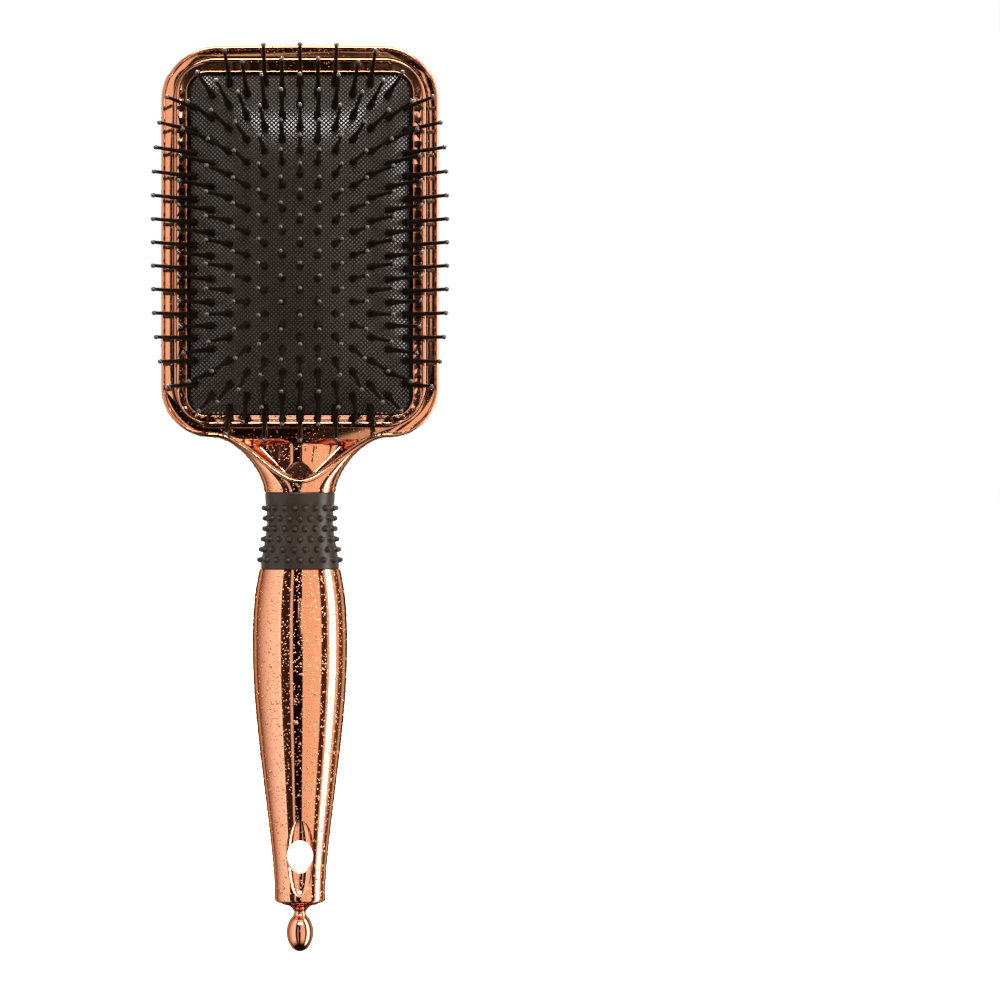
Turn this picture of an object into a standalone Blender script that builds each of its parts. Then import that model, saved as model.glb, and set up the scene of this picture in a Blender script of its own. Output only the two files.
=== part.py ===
"""A cushioned paddle hairbrush, standing upright: +Z runs from the handle to the head and the pins face -Y.

The origin is the centre of the rubber grip sleeve, where a hand holds it. Every length is in metres.
"""

import math

import bmesh
import bpy
from mathutils import Vector

# ---------------------------------------------------------------------------- driving dimensions
gap = 0.0003  # left between two pieces that touch

# Head of the plated body, seen from the front
head_width = 0.0762
head_top_z = 0.1334
head_low_z = 0.0259  # lowest point of the two lower corners
top_corner_radius = 0.0150
low_corner_radius = 0.0135
top_crown = 0.0006  # how far the top edge falls from its middle to its corners
shoulder_reach = 0.0070  # how far the lower edge runs on inwards before it turns down
neck_flare = 0.0065  # how far above the sleeve the shoulders start to open
neck_flare_share = 1.07  # of the neck's width, where its curve is aimed

# Head, neck and handle from front to back
lip_y = -0.0070  # front crest of the rim
widest_y = 0.0015  # the plane in which the head is widest
back_y = 0.0075
back_flat_depth = 0.0001  # the middle of the back is flat, so that the brush can rest on it
top_edge_share = 0.18  # of the depth left at the very top, under the rolled edge
top_roll_power = 3  # how squarely the back rolls over to the top edge
head_front_power = 9.0  # the power of the cross-section's curve: flat in front, domed behind
head_back_power = 3.0
neck_power = 2.3  # nearly an ellipse
neck_width = 0.0195
neck_depth = 0.0150
core_width = 0.0146  # tang that the rubber sleeve is stretched over
core_depth = 0.0116

# Rim: lip, shelf and the frame that holds the pad
lip_width = 0.0011
shelf_depth = 0.0008
frame_inset_side = 0.0035
frame_inset_top = 0.0035
frame_inset_low = 0.0028
frame_corner_radius = 0.0114
frame_front_drop = 0.0003  # the frame's ridge lies this far behind the lip's crest
frame_ridge_width = 0.0014
frame_ridge_radius = 0.0080

# Scoop between the frame and the V-shaped lip on the neck
vee_low_z = 0.0141
vee_start = (0.0176, 0.0249)
vee_lean = (0.62, 0.35)  # shares of the start's width and of the fall, where the V's curve is aimed first
vee_foot_half_width = 0.0055  # half the nearly level stretch at the V's foot
scoop_top_z = 0.0252
scoop_depth = 0.0032
scoop_margin = 0.0008
scoop_floor_share = 0.55

# Cushion pad
rim_side = 0.00735  # from the outline to the pad
rim_top = 0.0076
rim_low = 0.0061
pad_corner_radius = 0.0052
pad_edge_y = -0.0042
dome_height = 0.0101
dome_power_x = 3.0
dome_power_z = 3.5
membrane = 0.0013
hole_reach = 2.2  # how far the pin holes' cutters reach, in membranes
pad_loop_shares = (0.1, 0.3, 0.48, 0.63, 0.76, 0.88, 0.96)  # loops from the middle to the edge
flange_width = 0.0025
flange_thickness = 0.0012
flange_drop = 0.0004  # from the pad's visible edge back to its flange
ledge_width = 0.0021
chamber_floor_y = 0.0026

# Pins
pin_columns = 13
pin_half_rows = 29  # two staggered sets of rows, counted together
pin_margin_side = 0.0019
pin_margin_top = 0.0030
pin_margin_low = 0.0021
pin_length = 0.0175  # outside the pad
pin_root_radius = 0.0010
pin_neck_radius = 0.00045
pin_ball_radius = 0.00075
pin_ball_low = 1.6  # where the ball starts and where it is widest, in ball radii from the tip
pin_ball_middle = 0.8
pin_sides = 4
hole_clearance = 0.0003
strip_width = 0.0023  # web that joins the pins of one group under the pad
strip_thickness = 0.0012
strip_gap = 0.0008  # from the pad's underside down to the strip

# Grip sleeve
sleeve_half_length = 0.0107
sleeve_top_width = 0.0193
sleeve_waist_width = 0.0183
sleeve_low_width = 0.0217
sleeve_waist_z = 0.0028
sleeve_depth_share = 0.82
sleeve_steps = 8

# Handle: (height, half width) down its length
handle_profile = (
    (-0.0107, 0.0112),
    (-0.0168, 0.0123),
    (-0.0233, 0.0129),
    (-0.0321, 0.0131),
    (-0.0431, 0.01275),
    (-0.0563, 0.0116),
    (-0.0695, 0.01005),
    (-0.0827, 0.00845),
    (-0.0926, 0.0074),
    (-0.0992, 0.0070),
)
handle_end_z = -0.1028
handle_end_half_width = 0.0066
handle_end_bevel = 0.0006
handle_depth_share = 0.82

# Hanging hole with its dished mouths
hole_z = -0.0899
hole_half_width = 0.00365
hole_half_height = 0.00455
dish_half_width = 0.00390
dish_half_height = 0.0112
dish_depth = 0.0026

# Droplet-shaped end plug
plug_flare_radius = 0.0050
plug_neck_radius = 0.0016
plug_flare_curve = ((0.25, 0.62), (0.55, 0.25), (0.85, 0.05))  # shares of the way down and of the flare
drop_steps = 8
drop_last_deg = 169.2  # where the drop's curve is cut off by its little flat foot
plug_neck_z = -0.1058
drop_low_z = -0.1165
drop_radius = 0.00357
plug_spigot_radius = 0.0028
plug_spigot_length = 0.0056

# Mesh fineness
section_points = 24
corner_steps = 5
lathe_points = 18
dish_points = 22

head_half = head_width / 2
pad_half = head_half - rim_side
pad_top_z = head_top_z - rim_top
pad_low_z = head_low_z + rim_low
pad_mid_z = (pad_top_z + pad_low_z) / 2
pad_half_height = (pad_top_z - pad_low_z) / 2
frame_half = head_half - frame_inset_side
frame_top_z = head_top_z - frame_inset_top
frame_low_z = head_low_z + frame_inset_low
frame_front_y = lip_y + frame_front_drop
flange_front_y = pad_edge_y + flange_drop
flange_back_y = flange_front_y + flange_thickness
front_of_all_y = lip_y - 0.02  # where the cutters start, clear of the body


# ---------------------------------------------------------------------------- helpers
def clear_scene():
    for obj in list(bpy.data.objects):
        bpy.data.objects.remove(obj, do_unlink=True)


def finish_material(name, colour, metallic, roughness):
    material = bpy.data.materials.new(name)
    material.use_nodes = True
    shader = material.node_tree.nodes["Principled BSDF"]
    shader.inputs["Base Color"].default_value = (*colour, 1.0)
    shader.inputs["Metallic"].default_value = metallic
    shader.inputs["Roughness"].default_value = roughness
    return material


def mix(a, b, share):
    return a + (b - a) * share


def ease(value, low, high):
    """0 below low, 1 above high, and a smooth step between them."""
    share = min(max((value - low) / (high - low), 0.0), 1.0)
    return share * share * (3 - 2 * share)


def curve_value(points, at):
    """A value read from (at, value) points in falling order, with straight runs between them."""
    for (a, first), (b, second) in zip(points, points[1:], strict=False):
        if at >= b:
            return mix(first, second, (at - a) / (b - a))
    return points[-1][1]


def bezier(start, leave, arrive, end, steps):
    """Points of a cubic curve after its start, up to and with its end."""
    points = []
    for i in range(1, steps + 1):
        t = i / steps
        weights = ((1 - t) ** 3, 3 * t * (1 - t) ** 2, 3 * t * t * (1 - t), t**3)
        corners = (start, leave, arrive, end)
        points.append(tuple(sum(w * c[k] for w, c in zip(weights, corners, strict=True)) for k in (0, 1)))
    return points


def arc(centre, radius, start_deg, end_deg, steps):
    angles = [math.radians(mix(start_deg, end_deg, i / steps)) for i in range(steps + 1)]
    return [(centre[0] + radius * math.cos(a), centre[1] + radius * math.sin(a)) for a in angles]


def between(start, end, count):
    """Evenly spaced points on the straight run from start to end, without its ends."""
    shares = [i / (count + 1) for i in range(1, count + 1)]
    return [(mix(start[0], end[0], share), mix(start[1], end[1], share)) for share in shares]


def rounded_rect(half, low_z, high_z, radius, steps=corner_steps, across=0, up=0):
    """Outline points (x, z), from the top right corner on; across and up add points to the straight sides."""
    x = half - radius
    low = low_z + radius
    high = high_z - radius
    corners = (
        arc((x, high), radius, 0, 90, steps),
        arc((-x, high), radius, 90, 180, steps),
        arc((-x, low), radius, 180, 270, steps),
        arc((x, low), radius, 270, 360, steps),
    )
    points = []
    for i, corner in enumerate(corners):
        points += corner
        points += between(corner[-1], corners[(i + 1) % 4][0], up if i % 2 else across)
    return points


def mirrored(right_half):
    """A closed outline from its right half, which starts and ends on x = 0."""
    return right_half + [(-x, z) for x, z in reversed(right_half) if x > 1e-9]


def shade(obj):
    obj.data.shade_smooth()
    obj.data.set_sharp_from_angle(angle=math.radians(35))


def mesh_object(name, bm, material):
    bmesh.ops.recalc_face_normals(bm, faces=bm.faces)
    mesh = bpy.data.meshes.new(name)
    bm.to_mesh(mesh)
    bm.free()
    mesh.materials.append(material)
    obj = bpy.data.objects.new(name, mesh)
    bpy.context.scene.collection.objects.link(obj)
    return obj


def add_rings(bm, rings, closed=False):
    """Skins rings of equal length; the ends are capped, or joined to each other when closed.

    A last ring of one point is an apex.
    """
    loops = [[bm.verts.new(point) for point in ring] for ring in rings]
    pairs = list(zip(loops, loops[1:], strict=False))
    if closed:
        pairs.append((loops[-1], loops[0]))
    for one, other in pairs:
        for i in range(len(one)):
            j = (i + 1) % len(one)
            far = (other[0],) if len(other) == 1 else (other[j], other[i])
            bm.faces.new((one[i], one[j], *far))
    if not closed:
        bm.faces.new(loops[0])
        if len(loops[-1]) > 1:
            bm.faces.new(loops[-1])


def ring_solid(name, rings, material, closed=False):
    bm = bmesh.new()
    add_rings(bm, rings, closed)
    return mesh_object(name, bm, material)


def prism_rings(outline, front_y, rear_y, rear_share=1.0):
    """Two rings of an (x, z) outline; the rear one can be smaller, about the outline's centre."""
    mid_x = sum(x for x, _ in outline) / len(outline)
    mid_z = sum(z for _, z in outline) / len(outline)
    front = [(x, front_y, z) for x, z in outline]
    rear = [(mix(mid_x, x, rear_share), rear_y, mix(mid_z, z, rear_share)) for x, z in outline]
    return [front, rear]


def cut(obj, name, rings):
    """Cuts the skinned rings from an object with a Boolean."""
    cutter = ring_solid("cutter_" + name, rings, obj.data.materials[0])
    cutter.hide_render = True
    cutter.display_type = "WIRE"
    boolean(obj, name, cutter, "DIFFERENCE")


def boolean(obj, name, other, operation):
    modifier = obj.modifiers.new(name, "BOOLEAN")
    modifier.operation = operation
    modifier.object = other


def ellipse(half_x, half_y, z, count=lathe_points):
    turns = [2 * math.pi * i / count for i in range(count)]
    return [(half_x * math.cos(a), half_y * math.sin(a), z) for a in turns]


# ---------------------------------------------------------------------------- body
def head_half_outline():
    """(half width, z) of the head's outline, from the top edge down to the neck."""
    top = arc((head_half - top_corner_radius, head_top_z - top_corner_radius), top_corner_radius, 90, 0, 8)
    low_centre = (head_half - low_corner_radius, head_low_z + low_corner_radius)
    side = [(head_half, mix(top[-1][1], low_centre[1], share)) for share in (0.25, 0.5, 0.75)]
    low = arc(low_centre, low_corner_radius, 0, -90, 7)
    shoulder = bezier(
        low[-1],
        (low[-1][0] - shoulder_reach, head_low_z),
        (neck_width / 2 * neck_flare_share, sleeve_half_length + neck_flare),
        (neck_width / 2, sleeve_half_length),
        9,
    )
    return top + side + low + shoulder


def body_section(half_width, z, mid_y, front, back, front_power, back_power):
    """One closed cross-section: a flat-fronted or round front half and a domed back half."""
    ring = []
    for i in range(section_points):
        angle = 2 * math.pi * i / section_points
        across = math.cos(angle)
        deep = math.sin(angle)
        power = back_power if deep > 0 else front_power
        reach = back if deep > 0 else front
        x = half_width * math.copysign(abs(across) ** (2 / power), across)
        y = mid_y + reach * math.copysign(abs(deep) ** (2 / power), deep)
        fall = top_crown * (x / head_half) ** 2 * ease(z, head_top_z - 2 * top_corner_radius, head_top_z)
        ring.append((x, y, z - fall))
    return ring


def head_section(half_width, z):
    neckness = 1 - ease(z, sleeve_half_length, head_low_z + low_corner_radius)
    from_top = min((head_top_z - z) / head_half, 1.0)
    rolled = max(1 - (1 - from_top) ** top_roll_power, 0.0) ** (1 / top_roll_power)
    roll = mix(top_edge_share, 1.0, rolled)
    front_roll = mix(top_edge_share, 1.0, min((head_top_z - z) / lip_width, 1.0))
    mid_y = mix(widest_y, 0.0, neckness)
    front = mix(mid_y - lip_y, neck_depth / 2, neckness) * front_roll
    back = mix(back_y - mid_y, neck_depth / 2, neckness) * roll
    front_power = mix(head_front_power, neck_power, neckness)
    back_power = mix(head_back_power, neck_power, neckness)
    return body_section(half_width, z, mid_y, front, back, front_power, back_power)


def handle_rings():
    rings = [
        ellipse(half, half * handle_depth_share, z, section_points) for z, half in handle_profile
    ]
    bevel_start = handle_end_z + handle_end_bevel
    end_half = handle_end_half_width
    rings.append(ellipse(end_half, end_half * handle_depth_share, bevel_start, section_points))
    end_half -= handle_end_bevel
    rings.append(ellipse(end_half, end_half * handle_depth_share, handle_end_z, section_points))
    return rings


def handle_half_depth(z):
    return curve_value(handle_profile, z) * handle_depth_share


def vee_curve(start):
    """The V-shaped lip on the neck, from its right-hand start down to the middle."""
    leave = (start[0] * vee_lean[0], mix(start[1], vee_low_z, vee_lean[1]))
    return bezier(start, leave, (vee_foot_half_width, vee_low_z), (0, vee_low_z), 7)


def tray_outline():
    """The shelf inside the lip: the head's outline moved inwards, closed by the V on the neck."""
    top = arc(
        (head_half - top_corner_radius, head_top_z - top_corner_radius),
        top_corner_radius - lip_width,
        90,
        0,
        corner_steps,
    )
    low = arc(
        (head_half - low_corner_radius, head_low_z + low_corner_radius),
        low_corner_radius - lip_width,
        0,
        -90,
        corner_steps,
    )
    leave = (low[-1][0] - shoulder_reach / 2, low[-1][1])
    arrive = (mix(vee_start[0], leave[0], 0.5), mix(vee_start[1], leave[1], 0.5))
    shoulder = bezier(low[-1], leave, arrive, vee_start, 3)
    return mirrored([(0, top[0][1])] + top + low + shoulder + vee_curve(vee_start))


def scoop_outline():
    start = (vee_start[0] - 2 * scoop_margin, scoop_top_z - scoop_margin)
    low = [(x, z + scoop_margin) for x, z in vee_curve(start)]
    return mirrored([(0, scoop_top_z), (start[0], scoop_top_z)] + low)


def make_body(plating):
    rings = [head_section(half, z) for half, z in head_half_outline()]
    core_half = core_width / 2
    core_deep = core_depth / 2
    rings.append(ellipse(core_half, core_deep, sleeve_half_length, section_points))
    rings.append(ellipse(core_half, core_deep, -sleeve_half_length, section_points))
    rings += handle_rings()
    body = ring_solid("brush_body", rings, plating)

    cut(body, "shelf", prism_rings(tray_outline(), front_of_all_y, lip_y + shelf_depth))
    cut(body, "scoop", prism_rings(scoop_outline(), lip_y + shelf_depth / 2, lip_y + scoop_depth, scoop_floor_share))
    pocket = rounded_rect(
        frame_half + gap, frame_low_z - gap, frame_top_z + gap, frame_corner_radius + gap
    )
    cut(body, "frame_pocket", prism_rings(pocket, front_of_all_y, flange_back_y + gap))
    inner = flange_width - ledge_width
    chamber = rounded_rect(
        pad_half + inner, pad_low_z - inner, pad_top_z + inner, pad_corner_radius + inner
    )
    cut(body, "air_chamber", prism_rings(chamber, front_of_all_y, chamber_floor_y))

    flat = rounded_rect(head_half, head_low_z, head_top_z, low_corner_radius)
    cut(body, "back_flat", prism_rings(flat, back_y - back_flat_depth, 2 * back_y))

    deep = handle_half_depth(hole_z)
    hole = [
        (x, hole_z + z)
        for x, z, _ in ellipse(hole_half_width, hole_half_height, 0)
    ]
    cut(body, "hanging_hole", prism_rings(hole, -2 * deep, 2 * deep))
    for side, name in ((-1, "front_dish"), (1, "back_dish")):
        cut(body, name, dish_rings(side * deep))
    socket = plug_spigot_radius + gap
    cut(
        body,
        "plug_socket",
        [
            ellipse(socket, socket, handle_end_z - dish_depth),
            ellipse(socket, socket, handle_end_z + plug_spigot_length + gap),
        ],
    )
    shade(body)
    return body


def dish_rings(at_y):
    """An ellipsoid centred on the handle's surface, which leaves the hole's dished mouth."""
    rings = []
    oval = ellipse(dish_half_width, dish_half_height, 0, dish_points)
    for i in range(1, 8):
        angle = math.pi * i / 8
        out = math.sin(angle)
        y = at_y + dish_depth * math.cos(angle)
        rings.append([(x * out, y, hole_z + z * out) for x, z, _ in oval])
    return rings


# ---------------------------------------------------------------------------- frame and pad
def make_pad_frame(plating):
    """The ring that clamps the pad: back face, outer wall, ridge, then a slope down to the pad."""
    back = flange_front_y - gap
    inner = gap
    ridge = frame_ridge_width
    profile = (
        (rounded_rect(frame_half, frame_low_z, frame_top_z, frame_corner_radius), back),
        (rounded_rect(frame_half, frame_low_z, frame_top_z, frame_corner_radius), frame_front_y + gap),
        (
            rounded_rect(frame_half - gap, frame_low_z + gap, frame_top_z - gap, frame_corner_radius - gap),
            frame_front_y,
        ),
        (
            rounded_rect(frame_half - ridge, frame_low_z + ridge, frame_top_z - ridge, frame_ridge_radius),
            frame_front_y,
        ),
        (
            rounded_rect(pad_half + inner, pad_low_z - inner, pad_top_z + inner, pad_corner_radius + inner),
            pad_edge_y - gap,
        ),
        (
            rounded_rect(pad_half + inner, pad_low_z - inner, pad_top_z + inner, pad_corner_radius + inner),
            back,
        ),
    )
    rings = [[(x, y, z) for x, z in outline] for outline, y in profile]
    frame = ring_solid("pad_frame", rings, plating, closed=True)
    shade(frame)
    return frame


def dome(x, z):
    """How far the pad stands in front of its edge at (x, z)."""
    u = min(abs(x) / pad_half, 1.0)
    v = min(abs(z - pad_mid_z) / pad_half_height, 1.0)
    return dome_height * (1 - u**dome_power_x) * (1 - v**dome_power_z)


def dome_normal(x, z):
    step = 1e-5
    slope_x = (dome(x + step, z) - dome(x - step, z)) / (2 * step)
    slope_z = (dome(x, z + step) - dome(x, z - step)) / (2 * step)
    return Vector((-slope_x, -1.0, -slope_z)).normalized()


def pad_outline(grow):
    """The pad's outline moved outwards by grow, with points on its sides for the dome to follow."""
    return rounded_rect(
        pad_half + grow, pad_low_z - grow, pad_top_z + grow, pad_corner_radius + grow, 3, 5, 7
    )


def pad_loop(share, depth=0.0):
    """A loop of the domed membrane: the pad's outline scaled towards its middle, moved in by depth."""
    points = []
    for x, z in pad_outline(0):
        at = (x * share, mix(pad_mid_z, z, share))
        surface = Vector((at[0], pad_edge_y - dome(*at), at[1]))
        points.append(surface - dome_normal(*at) * depth if depth else surface)
    return points


def make_cushion_pad(rubber, pins):
    inner = pad_outline(-membrane)
    flange = pad_outline(flange_width)
    edge = pad_outline(0)
    rings = [pad_loop(share, membrane) for share in pad_loop_shares[:-1]]
    for outline, y in (
        (inner, flange_back_y),
        (flange, flange_back_y),
        (flange, flange_front_y),
        (edge, flange_front_y),
        (edge, pad_edge_y),
    ):
        rings.append([(x, y, z) for x, z in outline])
    rings += [pad_loop(share) for share in reversed(pad_loop_shares)]
    pad = ring_solid("cushion_pad", rings, rubber)

    bm = bmesh.new()
    hole_radius = pin_root_radius + hole_clearance
    for place, normal in pins:
        reach = hole_reach * membrane
        add_rings(
            bm,
            [turned_ring(place, normal, along, hole_radius) for along in (-reach, reach)],
        )
    cutter = mesh_object("cutter_pin_holes", bm, rubber)
    cutter.hide_render = True
    cutter.display_type = "WIRE"
    boolean(pad, "pin_holes", cutter, "DIFFERENCE")
    shade(pad)
    return pad


# ---------------------------------------------------------------------------- pins
def turned_ring(place, normal, along, radius):
    """A ring of pin_sides points round a pin's axis, at a distance along it from the pad's surface."""
    across = Vector((0, 0, 1)).cross(normal).normalized()
    up = normal.cross(across)
    centre = place + normal * along
    turns = [2 * math.pi * i / pin_sides for i in range(pin_sides)]
    return [centre + (across * math.cos(a) + up * math.sin(a)) * radius for a in turns]


def pin_place(column, half_row):
    """Where a pin stands on the pad, and the direction it points."""
    column_pitch = 2 * (pad_half - pin_margin_side) / (pin_columns - 1)
    low = pad_low_z + pin_margin_low
    high = pad_top_z - pin_margin_top
    row_pitch = (high - low) / (pin_half_rows - 1)
    x = column * column_pitch
    z = (low + high) / 2 + half_row * row_pitch
    return Vector((x, pad_edge_y - dome(x, z), z)), dome_normal(x, z)


def side_column(column, reach):
    """The pins of one column, as (column, half row); odd columns are staggered by half a pitch."""
    odd = column % 2
    return [(column, row) for row in range(-reach, reach + 1) if row % 2 == odd]


def end_rows(columns, half_row, sign):
    """The two staggered rows that close a group of columns at the top or the bottom."""
    return [
        (column, sign * (half_row if column % 2 == 0 else half_row - 1))
        for column in range(-columns, columns + 1)
    ]


def pin_groups():
    """Every group of pins by name: five inner columns, then four rings with four sides each."""
    groups = {}
    for column in range(-2, 3):
        groups[f"pins_centre_{column + 3}"] = side_column(column, 6)
    rings = (("inner", 3, 8), ("middle", 4, 10), ("outer", 5, 12), ("edge", 6, 14))
    for name, column, half_row in rings:
        reach = half_row - 1 if column % 2 else half_row
        if column % 2 == 0 and name == "edge":
            reach = half_row - 2
        groups[f"pins_{name}_left"] = side_column(-column, reach)
        groups[f"pins_{name}_right"] = side_column(column, reach)
        groups[f"pins_{name}_top"] = end_rows(column - 1, half_row, 1)
        groups[f"pins_{name}_low"] = end_rows(column - 1, half_row, -1)
    return groups


def strip_rings(bases, normals):
    """Rectangles along a group's pin bases, which skin into the strip that joins them."""
    rings = []
    for i, base in enumerate(bases):
        before = bases[max(i - 1, 0)]
        after = bases[min(i + 1, len(bases) - 1)]
        run = (after - before).normalized()
        centre = base.copy()
        if i == 0:
            centre -= run * pin_root_radius
        if i == len(bases) - 1:
            centre += run * pin_root_radius
        normal = (normals[i] - run * normals[i].dot(run)).normalized()
        side = run.cross(normal)
        turn = 1.0
        if 0 < i < len(bases) - 1:
            turn = 1 / max((base - before).normalized().dot(run), 0.5)
        wide = side * strip_width / 2 * turn
        deep = normal * strip_thickness / 2
        rings.append([centre + wide + deep, centre - wide + deep, centre - wide - deep, centre + wide - deep])
    return rings


def make_pin_group(name, members, nylon):
    """The pins of one group, standing on the thin strip that joins them behind the pad."""
    root = -(membrane + strip_gap + strip_thickness / 2)
    profile = (
        (root, pin_root_radius),
        (pin_length - pin_ball_low * pin_ball_radius, pin_neck_radius),
        (pin_length - pin_ball_middle * pin_ball_radius, pin_ball_radius),
    )
    places = [pin_place(*member) for member in members]
    bm = bmesh.new()
    for place, normal in places:
        rings = [turned_ring(place, normal, along, radius) for along, radius in profile]
        add_rings(bm, [*rings, [place + normal * pin_length]])
    standing = mesh_object("loose_" + name, bm, nylon)
    standing.hide_render = True
    standing.display_type = "WIRE"
    bases = [place + normal * root for place, normal in places]
    group = ring_solid(name, strip_rings(bases, [normal for _, normal in places]), nylon)
    boolean(group, "pins", standing, "UNION")
    shade(group)
    return places


# ---------------------------------------------------------------------------- sleeve and end plug
def make_grip_sleeve(rubber):
    """The rubber tube on the core, wider at its ends than at its waist."""
    top = sleeve_half_length - gap
    outer = []
    for i in range(sleeve_steps + 1):
        z = mix(top, -top, i / sleeve_steps)
        low = ease(sleeve_waist_z - z, 0, sleeve_waist_z + top)
        high = ease(z - sleeve_waist_z, 0, top - sleeve_waist_z)
        width = mix(mix(sleeve_waist_width, sleeve_low_width, low), sleeve_top_width, high)
        outer.append(ellipse(width / 2, width / 2 * sleeve_depth_share, z, section_points))
    bore = (core_width / 2 + gap, core_depth / 2 + gap)
    inner = [ellipse(*bore, z, section_points) for z in (-top, top)]
    sleeve = ring_solid("grip_sleeve", outer + inner, rubber, closed=True)
    shade(sleeve)
    return sleeve


def make_end_plug(plating):
    """The droplet that closes the handle: spigot, flared foot, thin neck and drop."""
    foot_z = handle_end_z - gap
    profile = [
        (plug_spigot_radius, handle_end_z + plug_spigot_length),
        (plug_spigot_radius, foot_z),
        (plug_flare_radius, foot_z),
    ]
    for share, radius_share in plug_flare_curve:
        radius = mix(plug_neck_radius, plug_flare_radius, radius_share)
        profile.append((radius, mix(foot_z, plug_neck_z, share)))
    profile.append((plug_neck_radius, plug_neck_z))
    middle = (plug_neck_z + drop_low_z) / 2
    half_height = (plug_neck_z - drop_low_z) / 2
    first = math.asin(plug_neck_radius / drop_radius)
    for i in range(1, drop_steps + 1):
        angle = mix(first, math.radians(drop_last_deg), i / drop_steps)
        profile.append((drop_radius * math.sin(angle), middle + half_height * math.cos(angle)))
    plug = ring_solid("end_plug", [ellipse(r, r, z) for r, z in profile], plating)
    shade(plug)
    return plug


def main():
    clear_scene()
    plating = finish_material("rose_plating", (0.86, 0.46, 0.34), 1.0, 0.08)
    pad_rubber = finish_material("pad_rubber", (0.075, 0.062, 0.055), 0.0, 0.5)
    nylon = finish_material("pin_nylon", (0.03, 0.02, 0.013), 0.0, 0.3)
    grip_rubber = finish_material("grip_rubber", (0.09, 0.075, 0.066), 0.0, 0.55)

    make_body(plating)
    make_pad_frame(plating)
    pins = []
    for name, members in pin_groups().items():
        pins += make_pin_group(name, members, nylon)
    make_cushion_pad(pad_rubber, pins)
    make_grip_sleeve(grip_rubber)
    make_end_plug(plating)


main()
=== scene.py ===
"""The looks of the paddle hairbrush: mirror plating with cast-in droplets, a woven-embossed rubber pad,
ball-tipped nylon pins, a nubbed grip sleeve and a droplet end. Lengths are metres, in the frame of the
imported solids: +Z runs from the handle to the head, and the pins face -Y.
"""

import math

import bmesh
import bpy
import numpy as np
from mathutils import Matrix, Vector
from mathutils.bvhtree import BVHTree


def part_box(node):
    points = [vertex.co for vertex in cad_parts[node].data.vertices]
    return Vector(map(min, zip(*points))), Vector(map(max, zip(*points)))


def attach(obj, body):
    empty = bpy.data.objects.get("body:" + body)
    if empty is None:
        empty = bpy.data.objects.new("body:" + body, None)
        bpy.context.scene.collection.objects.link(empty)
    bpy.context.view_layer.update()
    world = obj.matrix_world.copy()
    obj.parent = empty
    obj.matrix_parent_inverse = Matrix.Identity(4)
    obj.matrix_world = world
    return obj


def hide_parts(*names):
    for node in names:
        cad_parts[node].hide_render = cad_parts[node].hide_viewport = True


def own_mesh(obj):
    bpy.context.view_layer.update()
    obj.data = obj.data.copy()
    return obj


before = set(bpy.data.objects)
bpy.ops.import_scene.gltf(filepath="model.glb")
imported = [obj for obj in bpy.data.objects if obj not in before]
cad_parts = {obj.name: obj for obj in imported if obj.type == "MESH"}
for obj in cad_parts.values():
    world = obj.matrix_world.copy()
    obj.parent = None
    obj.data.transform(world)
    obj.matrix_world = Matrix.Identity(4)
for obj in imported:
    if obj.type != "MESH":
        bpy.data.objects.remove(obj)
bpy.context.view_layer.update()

MM = 0.001

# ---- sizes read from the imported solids
body_low, body_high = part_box("brush_body")
pad_low, pad_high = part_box("cushion_pad")
frame_low, frame_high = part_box("pad_frame")
sleeve_low, sleeve_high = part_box("grip_sleeve")
plug_low, plug_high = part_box("end_plug")

HEAD_HALF = body_high.x
HEAD_TOP_Z = body_high.z
HANDLE_END_Z = body_low.z
GAP = 0.3 * MM
LIP_Y = -7.0 * MM
BACK_Y = 7.5 * MM
WIDEST_Y = 1.5 * MM
FRAME_HALF = frame_high.x
FRAME_TOP_Z = frame_high.z
FRAME_LOW_Z = frame_low.z
FRAME_FRONT_Y = frame_low.y
FLANGE = 2.5 * MM
PAD_HALF = pad_high.x - FLANGE
PAD_TOP_Z = pad_high.z - FLANGE
PAD_LOW_Z = pad_low.z + FLANGE
PAD_MID_Z = (PAD_TOP_Z + PAD_LOW_Z) / 2
PAD_HALF_HEIGHT = (PAD_TOP_Z - PAD_LOW_Z) / 2
PAD_EDGE_Y = -4.2 * MM
FRAME_BACK_Y = -3.6 * MM
POCKET_FLOOR_Y = -2.2 * MM
DOME_HEIGHT = 10.1 * MM
SLEEVE_HALF = sleeve_high.z + 0.9 * GAP  # the rubber grips the core, so it fills the gap beside it

# ---- sizes of the fine shapes
HEAD_LOW_Z = 25.9 * MM
TOP_CORNER = 15.0 * MM
LOW_CORNER = 13.5 * MM
TOP_CROWN = 0.6 * MM
SHOULDER_REACH = 7.0 * MM
NECK_FLARE = 6.5 * MM
NECK_HALF = 9.75 * MM
NECK_DEPTH = 15.0 * MM
CORE_HALF = 7.3 * MM
CORE_DEEP = 5.8 * MM
TOP_EDGE_SHARE = 0.18
LIP_RADIUS = 0.55 * MM
LIP_STEP = 0.35 * MM  # how far the body's front lies behind the lip's crest
SHELF_INSET = 1.1 * MM
SHELF_Y = -6.5 * MM
SHELF_FILLET = 0.05 * MM
VEE_LOW_Z = 14.1 * MM
VEE_START = (17.6 * MM, 24.9 * MM)
SCOOP_TOP_Z = 25.2 * MM
SCOOP_INSET = 0.9 * MM
SCOOP_FLOOR_Y = -5.4 * MM
ROUND_RADIUS = 15.5 * MM  # of the scoop's floor, across
ROUND_REACH = 5.6 * MM
ROUND_FADE = 6.0 * MM
FRAME_CORNER = 11.4 * MM
RIDGE_CORNER = 8.0 * MM
RIDGE_WIDTH = 1.4 * MM
PAD_CORNER = 5.2 * MM
HANDLE_SHARE = 0.82
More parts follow.
